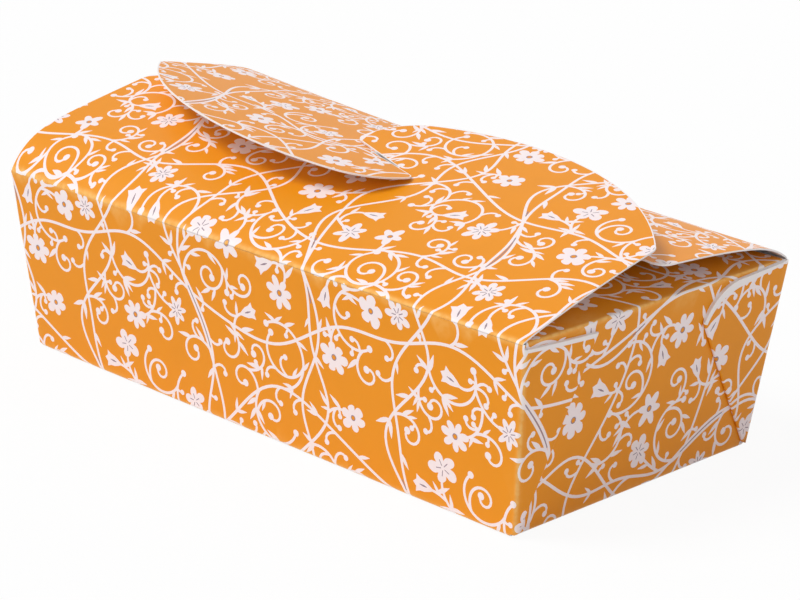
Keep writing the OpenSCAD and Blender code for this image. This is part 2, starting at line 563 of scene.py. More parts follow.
    def _spiral(self) -> bool:
        """Branch that winds up into a spiral and ends in a round bud.

        Returns:
            Whether it found room.
        """
        first = self._draw(self.spiral_radius)
        line = self._branch(
            self._draw(self.spiral_length), (1 / first, 1 / self._draw(self.spiral_eye)),
            power=1.8, lead=3.6, room=1.15, off=0.45,
        )
        if line is None:
            return False
        self._stroke(line, self.stem, 0.72)
        self._claim(line, room=0.7)
        self._head(line, size=1.05)
        self._remember(line[: len(line) // 2])
        return True

    def _curl(self) -> bool:
        """Short branch that curls over and ends in a bud.

        Returns:
            Whether it found room.
        """
        line = self._branch(
            self._draw(self.curl_length), (0.12, 1 / self._draw(self.curl_eye)),
            power=1.4, lead=2.4, room=0.95, off=0.6,
        )
        if line is None:
            return False
        self._stroke(line, 0.8, self.twig)
        self._claim(line, room=0.6)
        self._head(line, size=0.85)
        return True

    def _bud(self) -> bool:
        """Round bud on a very short stalk.

        Returns:
            Whether it found room.
        """
        line = self._branch(
            self._draw(self.bud_stalk), (0.3, 0.6), power=1.0, lead=1.7, room=0.75, off=1.1
        )
        if line is None:
            return False
        self._stroke(line, self.twig, 0.7)
        self._head(line, size=0.78)
        return True

    def _stalk(self, length: Span, curve: Span, stiffening: float, off: float) -> Array | None:
        """Tries the stalk of a flower or a bell.

        Args:
            length: Least and most length.
            curve: Least and most curvature at its root.
            stiffening: Curvature at its end as a multiple of that.
            off: Angle off the stem in radians.

        Returns:
            The curve, or None where it has no room.
        """
        k = self._draw(curve)
        return self._branch(
            self._draw(length), (k, k * stiffening), power=1.0, lead=3.2, room=0.85, off=off
        )

    def _flower(self) -> bool:
        """Branch that carries an open flower of five to seven petals.

        Returns:
            Whether it found room.
        """
        line = self._stalk(self.flower_stalk, self.flower_curve, 2, off=0.6)
        if line is None:
            return False
        radius = self._draw(self.flower_radius)
        t = way_at_end(line)
        middle = line[-1] + t * radius * 0.7
        if not self._free(middle[None], radius + 0.5):
            return False
        self._stroke(line, self.stem, self.twig)
        self._claim(line, self.line_room)
        self._claim(middle[None], radius)
        self._petals(middle, radius, math.atan2(t[1], t[0]))
        self._remember(line)
        return True

    def _petals(self, middle: Array, radius: float, start: float) -> None:
        """Flower outline r = R (1 - depth (1 - |cos(n a / 2)| ** sharp)), a bit uneven.

        It has either a ringed heart or a thin line along each petal.

        Args:
            middle: Middle of the flower.
            radius: Its radius R.
            start: Heading of its stalk in radians.
        """
        count = int(self.rng.integers(5, 8))
        sharp, depth = self.petal_styles[self.rng.integers(len(self.petal_styles))]
        a = np.linspace(0, 2 * math.pi, count * 8, endpoint=False)
        shape = 1 - depth * (1 - np.abs(np.cos(count * a / 2)) ** sharp)
        uneven = 1 + 0.1 * np.sin(2 * a + self.rng.uniform(0, 6)) + 0.05 * np.sin(5 * a)
        r = radius * shape * uneven
        turn = a + start + math.pi
        self.white.append(middle + r[:, None] * np.stack([np.cos(turn), np.sin(turn)], 1))
        if self.rng.random() < 0.5:
            self.lilac.append(arc(middle, radius * self.heart[0], 0, 330, 10))
            self.holes.append(arc(middle, radius * self.heart[1], 0, 330, 8))
            return
        for petal in range(count):
            b = start + math.pi + 2 * math.pi * petal / count
            ends = np.outer(np.linspace(*self.vein, 3) * radius, [math.cos(b), math.sin(b)])
            self.lilac.append(margin(middle + ends, self.vein_width))

    def _bell(self) -> bool:
        """Bell on a nodding stalk: a body that swells and flares into three points.

        Returns:
            Whether it found room.
        """
        line = self._stalk(self.bell_stalk, self.bell_curve, 1.8, off=0.5)
        if line is None:
            return False
        t = way_at_end(line)
        length = self._draw(self.bell_length)
        middle = line[-1] + t * length * 0.5
        if not self._free(middle + np.outer([-1.2, 0.6, 2.6], t), room=2.9):
            return False
        self._stroke(line, self.stem, self.twig)
        self._claim(line, self.line_room)
        self._claim(middle + np.outer([-1.5, 0.6, 2.2], t), room=2.4)
        side = np.concatenate([BELL_SIDE, [[1.0, 0.0]], BELL_SIDE[::-1] * (1, -1)]) * length
        n = np.array([-t[1], t[0]])
        self.white.append(line[-1] + side[:, :1] * t + side[:, 1:] * n)
        slit = line[-1] + np.outer(np.array([0.28, 0.45, 0.66]) * length, t)
        self.lilac.append(margin(slit, np.array([0.16, 0.5, 0.16])))
        self._remember(line)
        return True

    def _drop(self, root: Array, heading: float, length: float) -> None:
        """Leaf that comes to a point: its half width is leaf_share length sin(pi s ** 0.8).

        Args:
            root: Where it leaves the stem.
            heading: Its direction in radians.
            length: Its length.
        """
        s = np.linspace(0, 1, 6)
        line = root + np.outer(s * length, [math.cos(heading), math.sin(heading)])
        width = np.maximum(2 * self.leaf_share * length * np.sin(math.pi * s**0.8), 0.1)
        self.white.append(margin(line, width))

    def _leaves(self) -> bool:
        """One leaf, or a pair of leaves in an arrowhead, on a stem.

        Returns:
            Whether it found room.
        """
        place, heading = self._anchor()
        length, lean = self._draw(self.leaf_length), self._draw(self.leaf_lean)
        made = False
        for side in (1, -1):
            way = np.array([math.cos(heading + side * lean), math.sin(heading + side * lean)])
            if self._free(place + np.outer([0.72, 1.0], way) * length, room=0.75):
                self._drop(place, heading + side * lean, length)
                self._claim(place + np.outer([0.6, 0.9], way) * length, room=0.8)
                made = True
        return made

    def over(self, low: Array, high: Array) -> list[tuple[Ink, Array]]:
        """All shapes of the print that reach into a rectangle of the blank.

        Args:
            low: Lowest corner of the rectangle.
            high: Highest corner.

        Returns:
            Pairs of ink and outline.
        """
        found = []
        size = np.array(self.repeat) * self.enlarged
        for ink, shapes in (
            (Ink.WHITE, self.white), (Ink.LILAC, self.lilac), (Ink.ORANGE, self.holes)
        ):
            for shape in (s * self.enlarged for s in shapes):
                a, b = shape.min(0), shape.max(0)
                first = np.ceil((low - b) / size).astype(int)
                last = np.floor((high - a) / size).astype(int)
                found += [
                    (ink, shape + size * (i, j))
                    for i in range(first[0], last[0] + 1)
                    for j in range(first[1], last[1] + 1)
                ]
        return found


# Meshes


COVERS = {Ink.WHITE: 1, Ink.LILAC: 2, Ink.ORANGE: 3, Ink.BOARD: 4}
TRIANGLES_ONLY = 0
MERGE_WITHIN = 1e-5
TINY = 1e-12


@dataclass
class Tiling:
    """A flat outline cut into triangles."""

    points: Array
    faces: Array
    inks: Array
    rim: Array
    rim_place: Array


def signed_area(outline: Array) -> float:
    """Area of a closed outline, positive where it runs against the clock."""
    x, y = outline[:, 0], outline[:, 1]
    return float(np.sum(x * np.roll(y, -1) - np.roll(x, -1) * y) / 2)


def tiled(outline: Array, guides: list[Array], shapes: list[tuple[Ink, Array]]) -> Tiling:
    """Cuts an outline into triangles that follow the print and the fold guides.

    Args:
        outline: Closed outline, against the clock.
        guides: Polylines whose edges the triangles keep to.
        shapes: Printed shapes. Where some overlap, the ink that COVERS ranks highest shows.

    Returns:
        The triangles, the ink of each, and the rim with its place round the outline.
    """
    rings = [outline] + [s if signed_area(s) > 0 else s[::-1] for _, s in shapes]
    ends = np.cumsum([len(ring) for ring in rings])
    faces = [list(range(end - len(ring), end)) for ring, end in zip(rings, ends)]
    edges, at = [], int(ends[-1])
    for line in guides:
        edges += [(i, i + 1) for i in range(at, at + len(line) - 1)]
        at += len(line)
    flat = [Vector(p) for p in np.concatenate([*rings, *guides])]
    verts, _, tris, _, _, origin = delaunay_2d_cdt(
        flat, edges, faces, TRIANGLES_ONLY, MERGE_WITHIN, True
    )
    inks, kept = [], []
    for tri, owners in zip(tris, origin):
        if 0 in owners:
            printed = [shapes[o - 1][0] for o in owners if o]
            inks.append(max(printed, key=COVERS.get, default=Ink.ORANGE))
            kept.append(tri)
    xy = np.array([tuple(v) for v in verts])
    used, flat_index = np.unique(np.array(kept), return_inverse=True)
    faces_kept = flat_index.reshape(-1, 3)
    xy = xy[used]
    sides = np.concatenate([faces_kept[:, [0, 1]], faces_kept[:, [1, 2]], faces_kept[:, [2, 0]]])
    key = sides[:, 0].astype(np.int64) * len(xy) + sides[:, 1]
    back = sides[:, 1].astype(np.int64) * len(xy) + sides[:, 0]
    rim = in_turn(sides[~np.isin(key, back)], xy, outline[0])
    place = place_on(outline, xy[rim])
    place[0] = 0.0
    return Tiling(xy, faces_kept, np.array(inks, int), rim, np.maximum.accumulate(place))


def in_turn(edges: Array, points: Array, first: Array) -> Array:
    """Vertices of a closed rim in the order in which its edges pass them.

    Each vertex counts its steps to the last one. Every round adds the count of the vertex
    that it points to and then points twice as far, so the rounds are few.

    Args:
        edges: Pairs of vertices, each edge leading from the first to the second.
        points: Places of all vertices.
        first: Place at which the rim begins.

    Returns:
        The vertices, from the one at that place.
    """
    start, stop = edges[np.argsort(edges[:, 0])].T
    begin = np.linalg.norm(points[start] - first, axis=1).argmin()
    ahead = np.searchsorted(start, stop)
    last = ahead == begin
    steps = np.where(last, 0, 1)
    ahead[last] = np.flatnonzero(last)
    for _ in range(len(start).bit_length()):
        steps = steps + steps[ahead]
        ahead = ahead[ahead]
    return start[np.argsort(-steps)]


def place_on(outline: Array, points: Array) -> Array:
    """Finds where points lie round an outline.

    Args:
        outline: Closed outline.
        points: Points on it, one row each.

    Returns:
        The number of the nearest segment plus the share of that segment, for each point.
    """
    a, b = outline, np.roll(outline, -1, axis=0)
    d = b - a
    rel = points[:, None, :] - a[None]
    t = np.clip((rel * d).sum(-1) / (d * d).sum(-1), 0, 1)
    gap = np.linalg.norm(rel - t[..., None] * d, axis=-1)
    near = gap.argmin(1)
    return (near + t[np.arange(len(points)), near]) % len(outline)


def band(outer: Tiling, inner: Tiling, shift: int) -> Array:
    """Triangles that join two rims, which run round the same outline.

    The places of both rims are merged in order. Each step forward on one rim makes one
    triangle with the place where the other rim stands.

    Args:
        outer: Tiling of the print side.
        inner: Tiling of the plain side.
        shift: Number that is added to the inner tiling's vertex numbers.

    Returns:
        The triangles, facing away from the sheet.
    """
    n, m = len(outer.rim), len(inner.rim)
    place = np.concatenate([outer.rim_place, inner.rim_place + 1e-9])
    kind = np.concatenate([np.zeros(n, int), np.ones(m, int)])
    order = np.argsort(place, kind="stable")
    kind = kind[order]
    i = np.cumsum(kind == 0) - 1
    j = np.cumsum(kind == 1) - 1
    before_i, before_j = np.roll(i, 1), np.roll(j, 1)
    before_i[0], before_j[0] = -1, -1
    o, k = outer.rim, inner.rim + shift
    on_outer = np.stack([o[before_i % n], o[i % n], k[j % m]], 1)
    on_inner = np.stack([o[i % n], k[j % m], k[before_j % m]], 1)
    return np.where((kind == 0)[:, None], on_outer, on_inner)


@dataclass
class Sheet:
    """A part of the blank: its flat outline, how it folds, and the print on it."""

    name: str
    outline: Array
    fold: Callable[[Array, float], Array]
    guides: list[Array]
    creases: list[Array]
    body: str
    cuts: list[Array] = field(default_factory=list)
    thickness: float = SIZES.board
    # Reach of the painted highlight and wear that run along the creases.
    highlight_and_wear_reach: float = 0.9
    slope_step: float = 0.02
    uv_scale: float = 0.01

    def build(self, vine: VinePrint, inks: list[bpy.types.Material]) -> bpy.types.Object:
        """Builds the folded sheet as one closed mesh.

        Args:
            vine: The print.
            inks: Materials in the order of Ink.

        Returns:
            The object, at the origin, riding on its body.
        """
        low, high = self.outline.min(0), self.outline.max(0)
        bare = [(Ink.BOARD, cut) for cut in self.cuts]
        face = tiled(self.outline, self.guides, vine.over(low, high) + bare)
        plain = tiled(self.outline, self.guides, [])
        shift = len(face.points)
        rim = band(face, plain, shift)
        flat = np.concatenate([face.points, plain.points])
        points = self._folded(flat, shift)
        faces = np.concatenate([face.faces[:, ::-1], plain.faces + shift, rim])
        slots = np.concatenate(
            [face.inks, np.full(len(plain.faces) + len(rim), int(Ink.BOARD))]
        )
        mesh = bpy.data.meshes.new(self.name)
        mesh.from_pydata((points * MM).tolist(), [], faces.tolist())
        for ink in inks:
            mesh.materials.append(ink)
        mesh.polygons.foreach_set("material_index", slots.astype(np.int32))
        mesh.update()
        self._normals(mesh, points, faces, flat, shift, len(rim))
        self._marks(mesh, flat)
        piece = bpy.data.objects.new(self.name, mesh)
        bpy.context.scene.collection.objects.link(piece)
        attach(piece, self.body)
        log.info("%s: %d triangles", self.name, len(faces))
        return piece

    def _folded(self, flat: Array, shift: int) -> Array:
        """Folds both sides: the print side up to a number of points, and then the plain one."""
        return np.concatenate(
            [self.fold(flat[:shift], 0.0), self.fold(flat[shift:], -self.thickness)]
        )

    def _normals(
        self, mesh: bpy.types.Mesh, points: Array, faces: Array, flat: Array, shift: int, rims: int
    ) -> None:
        """Gives each corner the true normal of the folded surface, and the rim its own.

        The normal is the cross product of the surface's two slopes in the blank, each taken
        from a small step to either side. It is turned round on the plain side.

        Args:
            mesh: The folded mesh.
            points: Its points.
            faces: Its triangles, those of the rim last.
            flat: Places of the points in the blank.
            shift: Number of points on the print side.
            rims: Number of triangles of the rim.
        """
        along, across = (
            self._folded(flat + step, shift) - self._folded(flat - step, shift)
            for step in np.eye(2) * self.slope_step
        )
        normal = np.cross(across, along)
        normal[shift:] *= -1
        normal /= np.maximum(np.linalg.norm(normal, axis=1), TINY)[:, None]
        corner = normal[faces]
        tri = points[faces[-rims:]]
        own = np.cross(tri[:, 1] - tri[:, 0], tri[:, 2] - tri[:, 0])
        own /= np.maximum(np.linalg.norm(own, axis=1), TINY)[:, None]
        corner[-rims:] = own[:, None, :]
        mesh.polygons.foreach_set("use_smooth", np.ones(len(faces), bool))
        mesh.normals_split_custom_set(corner.reshape(-1, 3).tolist())

    def _marks(self, mesh: bpy.types.Mesh, flat: Array) -> None:
        """Writes the blank's coordinates as a UV map and the nearness to a crease.

        The nearness is exp(-(d / r) ** 2), with d the distance to the nearest crease in the
        blank and r the reach of the painted highlight and wear. It masks that highlight.

        Args:
            mesh: The folded mesh.
            flat: Places of its points in the blank.
        """
        near = np.full(len(flat), np.inf)
        for a, b in self.creases:
            d = b - a
            t = np.clip((flat - a) @ d / (d @ d), 0, 1)
            near = np.minimum(near, np.linalg.norm(flat - a - t[:, None] * d, axis=1))
        # The crease attribute masks the painted highlight and wear along the creases.
        highlight_and_wear_mask = mesh.attributes.new("crease", "FLOAT", "POINT")
        highlight_and_wear_mask.data.foreach_set("value", np.exp(-((near / self.highlight_and_wear_reach) ** 2)).astype(np.float32))
        loops = np.empty(len(mesh.loops), np.int32)
        mesh.loops.foreach_get("vertex_index", loops)
        uv = mesh.uv_layers.new(name="blank")
        uv.data.foreach_set("uv", (flat[loops] * self.uv_scale).astype(np.float32).ravel())


# Walls


@dataclass(frozen=True)
class Web:
    """Corner web that lies double on an end panel.

    Its outline is given on the end panel: inward from the top corner, and up the slant.
    """

    edge: Array
    foot: float = 1.2
    foot_cut: float = 0.9
    layer: float = 0.52
    inner_edge: float = 1.5
    inner_start: float = 2.5
    bare: tuple[float, float, float] = (2.6, 2.8, 1.6)

    @classmethod
    def straight(cls) -> "Web":
        """Web with an almost straight cut edge."""
        s = SIZES.slant
        return cls(np.array([[30.0, s - 3.4], [15.0, s - 2.5], [0.0, s - 1.6]]))

    @classmethod
    def rounded(cls) -> "Web":
        """Web whose cut edge rounds down to its inner point.

        Returns:
            The web.
        """
        reach, drop, radius, fall = 37.0, 12.0, 16.0, 1.4
        below = radius + fall - drop
        centre = (reach - math.sqrt(radius**2 - below**2), SIZES.slant - fall - radius)
        start = math.degrees(math.asin(below / radius))
        edge = np.concatenate([arc(centre, radius, start, 90, 14), [[0.0, SIZES.slant]]])
        return cls(edge, bare=(3.0, 5.4, 1.4))

    def flat(self, points: Array) -> Array:
        """Carries points from the end panel into the blank, beyond the front right corner.

        Along the corner line w = s cos k - c sin k and across it q = c cos k + s sin k,
        with c the distance inward from the base corner, s the height up the slant and k the
        skew of the wall's upright edge.

        Args:
            points: Places on the end panel, one row each.

        Returns:
            Places in the blank.
        """
        k = SIZES.skew
        c = points[:, 0] - SIZES.wall_flare
        w = points[:, 1] * math.cos(k) - c * math.sin(k)
        q = c * math.cos(k) + points[:, 1] * math.sin(k)
        return CORNER + np.outer(w, [math.sin(k), -math.cos(k)]) + np.outer(
            q, [math.cos(k), math.sin(k)]
        )

    def margin(self) -> Array:
        """Strip along the cut edge that is left unprinted, in the blank.

        Its width changes from the inner point over the middle to the corner.

        Returns:
            The closed outline of the strip.
        """
        edge = self.flat(self.edge)
        along = np.concatenate([[0], np.cumsum(np.linalg.norm(np.diff(edge, axis=0), axis=1))])
        return margin(edge, np.interp(along / along[-1], [0.0, 0.35, 1.0], self.bare))

    @property
    def diagonal(self) -> tuple[Array, Array]:
        """Foot and inner point of the diagonal fold, in the blank."""
        ends = self.flat(np.array([[SIZES.wall_flare + self.foot, 0.0], self.edge[0]]))
        return ends[0], ends[1]

    def bend(self, sign: float) -> Bend:
        """The fold that lays the web's second layer under its first.

        Args:
            sign: 1 for the right corner and -1 for the left one.

        Returns:
            The fold, which moves only what lies past the corner line and the bottom crease.
        """
        foot, point = self.diagonal
        along = (point - foot) / np.linalg.norm(point - foot)
        across = np.array([-along[1], along[0]])
        k = SIZES.skew
        flip = np.array([sign, 1.0])
        return Bend(
            np.append(foot * flip, 0.0),
            np.append(along * flip, 0.0),
            np.append(across * flip, 0.0),
            DOWN,
            self.layer,
            math.pi,
            (
                (np.append(CORNER * flip, 0.0), flat_vector(sign * math.cos(k), math.sin(k))),
                PAST_BOTTOM,
            ),
        )

    def outline(self) -> Array:
        """Outline in the blank, from its foot round both layers to the top corner.

        Returns:
            The points for the front right corner, against the clock.
        """
        k = SIZES.skew
        foot, point = self.diagonal
        along = (point - foot) / np.linalg.norm(point - foot)
        low = foot + along * self.foot_cut
        across = np.array([math.cos(k), math.sin(k)])
        start = foot + along * (self.inner_start - (foot - CORNER) @ across) / (along @ across)
        edge = self.flat(self.edge)
        last, before = edge[-1], edge[-2]
        gone = (last - CORNER) @ across
        had = (before - CORNER) @ across
        top = last + (before - last) * (self.inner_edge - gone) / (had - gone)
        under = reflected(np.concatenate([[top], edge[-2:0:-1]]), foot, along)
        second = np.concatenate([[start], under])
        return np.concatenate([[low], second, [point], edge[1:]])


CORNER = np.array([SIZES.half_length + SIZES.web_outside, -SIZES.half_depth])
PAST_BOTTOM = (flat_vector(0, -SIZES.half_depth), flat_vector(0, -1))


@dataclass
class WallSheet:
    """Base and both long walls with their corner webs: one strip of the blank.

    The foot sizes shape the small notch at each bottom corner. The side sizes shape the
    edge between a web's tip and the top crease.
    """

    name: str = "wall_sheet"
    base_end: float = 100.4
    top_gap: float = 0.3
    foot_step: float = 0.2
    foot_in: float = 1.4
    foot_drop: float = 0.9
    side_in: float = 0.4
    side_short: float = 1.6
    top_in: Span = (0.45, 0.05)
    corner_guides: Span = (0.9, 62.0)
    bottom_guides: float = 102.5
    web_guides: int = 5
    web_start: float = 0.5
    # Half lengths of the crease lines that carry the painted highlight and wear.
    highlight_wear_bottom: float = 102.0
    highlight_wear_corner: float = 58.0
    highlight_wear_top: float = 108.0

    def __post_init__(self) -> None:
        """Works out the bends, from the farthest crease inwards.

        A wall and an end panel both lean out by the angle a, so their outward normals are
        (0, -cos a, -sin a) and (cos a, 0, -sin a), and the corner turns by the angle
        between those, whose cosine is sin(a) ** 2.
        """
        k = SIZES.skew
        self.right, self.left = Web.straight(), Web.rounded()
        turn = math.acos(math.sin(SIZES.lean) ** 2)
        self.corners = [
            Bend(
                np.append(CORNER * (sign, 1), 0.0),
                flat_vector(sign * math.sin(k), -math.cos(k)),
                flat_vector(sign * math.cos(k), math.sin(k)),
                DOWN, SIZES.fold_radius, turn, (PAST_BOTTOM,),
            )
            for sign in (1, -1)
        ]
        self.bottom = Bend(
            flat_vector(0, -SIZES.half_depth), flat_vector(1, 0), flat_vector(0, -1),
            DOWN, SIZES.fold_radius, math.pi / 2 - SIZES.lean,
        )
        self.diagonals = [self.right.bend(1), self.left.bend(-1)]

    def fold(self, flat: Array, height: float) -> Array:
        """Folds points of the blank up into the box.

        Args:
            flat: Places in the blank.
            height: Height on the print side.

        Returns:
            Places in the box, in millimetres.
        """
        side = np.where(flat[:, 1:2] > 0, -1.0, 1.0)
        p = np.column_stack([flat * side, np.full(len(flat), -height)])
        for bend in (*self.diagonals, *self.corners, self.bottom):
            p = bend(p)
        return p * np.column_stack([side, side, np.ones_like(side)])

    def half_outline(self) -> Array:
        """Outline of the front half, from the base's right edge to its left edge.

        Returns:
            The points, one row each.
        """
        b = SIZES.half_depth
        top = -(b + SIZES.slant - self.top_gap)
        right = self.right.outline()
        left = self.left.outline()[::-1] * (-1, 1)
        x = SIZES.top_half_length + SIZES.web_outside
        left = left[left[:, 1] > top + 0.01]
        k = SIZES.skew
        back = np.array([math.cos(k), math.sin(k)]) * self.side_in
        rise = (SIZES.slant - self.side_short) / math.cos(k)
        edge = CORNER + np.array([math.sin(k), -math.cos(k)]) * rise
        foot = np.array([
            [self.base_end, -b - self.foot_step], [CORNER[0] - self.foot_in, -b - self.foot_drop],
        ])
        return np.concatenate([
            foot,
            right,
            [edge - back],
            [[x - self.top_in[0], top], [self.top_in[1] - x, top]],
            left,
            foot[::-1] * (-1, 1),
        ])

    def sheet(self) -> Sheet:
        """The whole strip: the front half, and the same turned half round.

        Returns:
            The sheet, ready to build.
        """
        half = self.half_outline()
        outline = without_repeats(np.concatenate([half, -half]))
        if signed_area(outline) < 0:
            outline = outline[::-1]
        guides = [line for bend in self.corners for line in bend.guides(*self.corner_guides)]
        guides += self.bottom.guides(-self.bottom_guides, self.bottom_guides)
        for bend, web in zip(self.diagonals, (self.right, self.left)):
            foot, point = web.diagonal
            guides += bend.guides(self.web_start, float(np.linalg.norm(point - foot)), self.web_guides)
        guides += [-line for line in guides]
        # Crease lines that carry the painted highlight and wear.
        creases = []
        b = SIZES.half_depth
        for s in (1, -1):
            creases.append(np.array([[-self.highlight_wear_bottom, -b], [self.highlight_wear_bottom, -b]]) * s)
            for bend in self.corners:
                o, a = bend.origin[:2], bend.along[:2]
                creases.append(np.array([o, o + a * self.highlight_wear_corner]) * s)
            top = -(b + SIZES.slant)
            creases.append(np.array([[-self.highlight_wear_top, top], [self.highlight_wear_top, top]]) * s)
        front = [self.right.margin(), self.left.margin() * (-1, 1)]
        cuts = front + [-cut for cut in front]
        return Sheet(self.name, outline, self.fold, guides, creases, "carton_body", cuts)


@dataclass
class EndSheet:
    """End panel with the flap that is tucked in from its top.

    The foot is a pair: how far past the base's end the panel has its full width, and how
    much narrower it begins. The neck is the short step in width at the top crease.
    """

    side: Side
    inset: float = 0.55
    start: float = 100.39
    flap_length: float = 48.0
    flap_step: float = 1.6
    flap_taper: float = 9.0
    bare: float = 0.5
    flap_corner: float = 12.0
    flap_angle: float = 5.0
    crease_radius: float = 0.75
    foot: Span = (0.9, 1.2)
    neck: float = 0.4
    neck_out: float = 0.3
    neck_past: float = 0.1
    bare_past: float = 0.6
    corner_points: int = 12
    bow_step: float = 8.0
    # Half length of the bottom crease line that carries the painted highlight and wear.
    highlight_wear_bottom: float = 50.0

    def __post_init__(self) -> None:
        """Works out the two bends: the top crease and then the bottom one."""
        self.top = SIZES.half_length + SIZES.slant
        self.crease = Bend(
            flat_vector(self.top, 0), flat_vector(0, 1), flat_vector(1, 0), DOWN,
            self.crease_radius, math.pi / 2 + SIZES.lean - math.radians(self.flap_angle),
        )
        self.bottom = Bend(
            flat_vector(SIZES.half_length, 0), flat_vector(0, 1), flat_vector(1, 0), DOWN,
            SIZES.fold_radius, math.pi / 2 - SIZES.lean,
        )

    def fold(self, flat: Array, height: float) -> Array:
        """Folds points of the blank up into the end of the box.

        Past the top crease the sheet first sinks by e ** 2 / (2 r), with e the distance
        from the crease and r the radius of the flap's shallow bow.

        Args:
            flat: Places in the blank.
            height: Height on the print side.

        Returns:
            Places in the box, in millimetres.
        """
        turn = self.side.value
        p = np.column_stack([flat * turn, np.full(len(flat), -height)])
        past = np.maximum(p[:, 0] - self.top, 0)
        bow = self.flap_length / math.sin(math.radians(self.flap_angle))
        p[:, 2] += past**2 / (2 * bow)
        for bend in (self.crease, self.bottom):
            p = bend(p)
        return p * (turn, turn, 1)

    def sheet(self) -> Sheet:
        """The end panel and its flap.

        Returns:
            The sheet, ready to build.
        """
        k = SIZES.skew
        low = SIZES.half_depth - self.inset / math.cos(k)
        high = low + (SIZES.slant - self.neck) * math.tan(k)
        half = SIZES.top_half_depth - self.flap_step
        tip, r, end = half - self.flap_taper, self.flap_corner, self.top + self.flap_length
        neck, corner = self.top - self.neck, arc((end - r, tip - r), r, 90, 0, self.corner_points)
        upper = np.concatenate([
            [[self.start, low - self.foot[1]], [SIZES.half_length + self.foot[0], low]],
            [[neck, high], [neck, half + self.neck_out], [self.top + self.neck_past, half]],
            corner,
        ])
        outline = without_repeats(np.concatenate([upper * (1, -1), upper[::-1]]))
        side = np.concatenate([[[self.top + self.bare_past, half]], corner])
        free = np.concatenate([side, side[::-1] * (1, -1)])
        wide = SIZES.half_depth + 1
        guides = self.crease.guides(-half - 1, half + 1) + self.bottom.guides(-wide, wide)
        guides += [
            np.array([[self.top + d, -half], [self.top + d, half]])
            for d in np.arange(self.bow_step, self.flap_length, self.bow_step)
        ]
        # Crease lines that carry the painted highlight and wear.
        creases = [
            np.array([[self.top, -half], [self.top, half]]),
            np.array([[SIZES.half_length, s * self.highlight_wear_bottom] for s in (-1, 1)]),
        ]
        turn = self.side.value
        name = "right_end_sheet" if self.side is Side.FRONT else "left_end_sheet"
        return Sheet(
            name, outline * turn, self.fold, [g * turn for g in guides],
            [c * turn for c in creases], "carton_body", [margin(free, self.bare) * turn],
        )


# Flaps


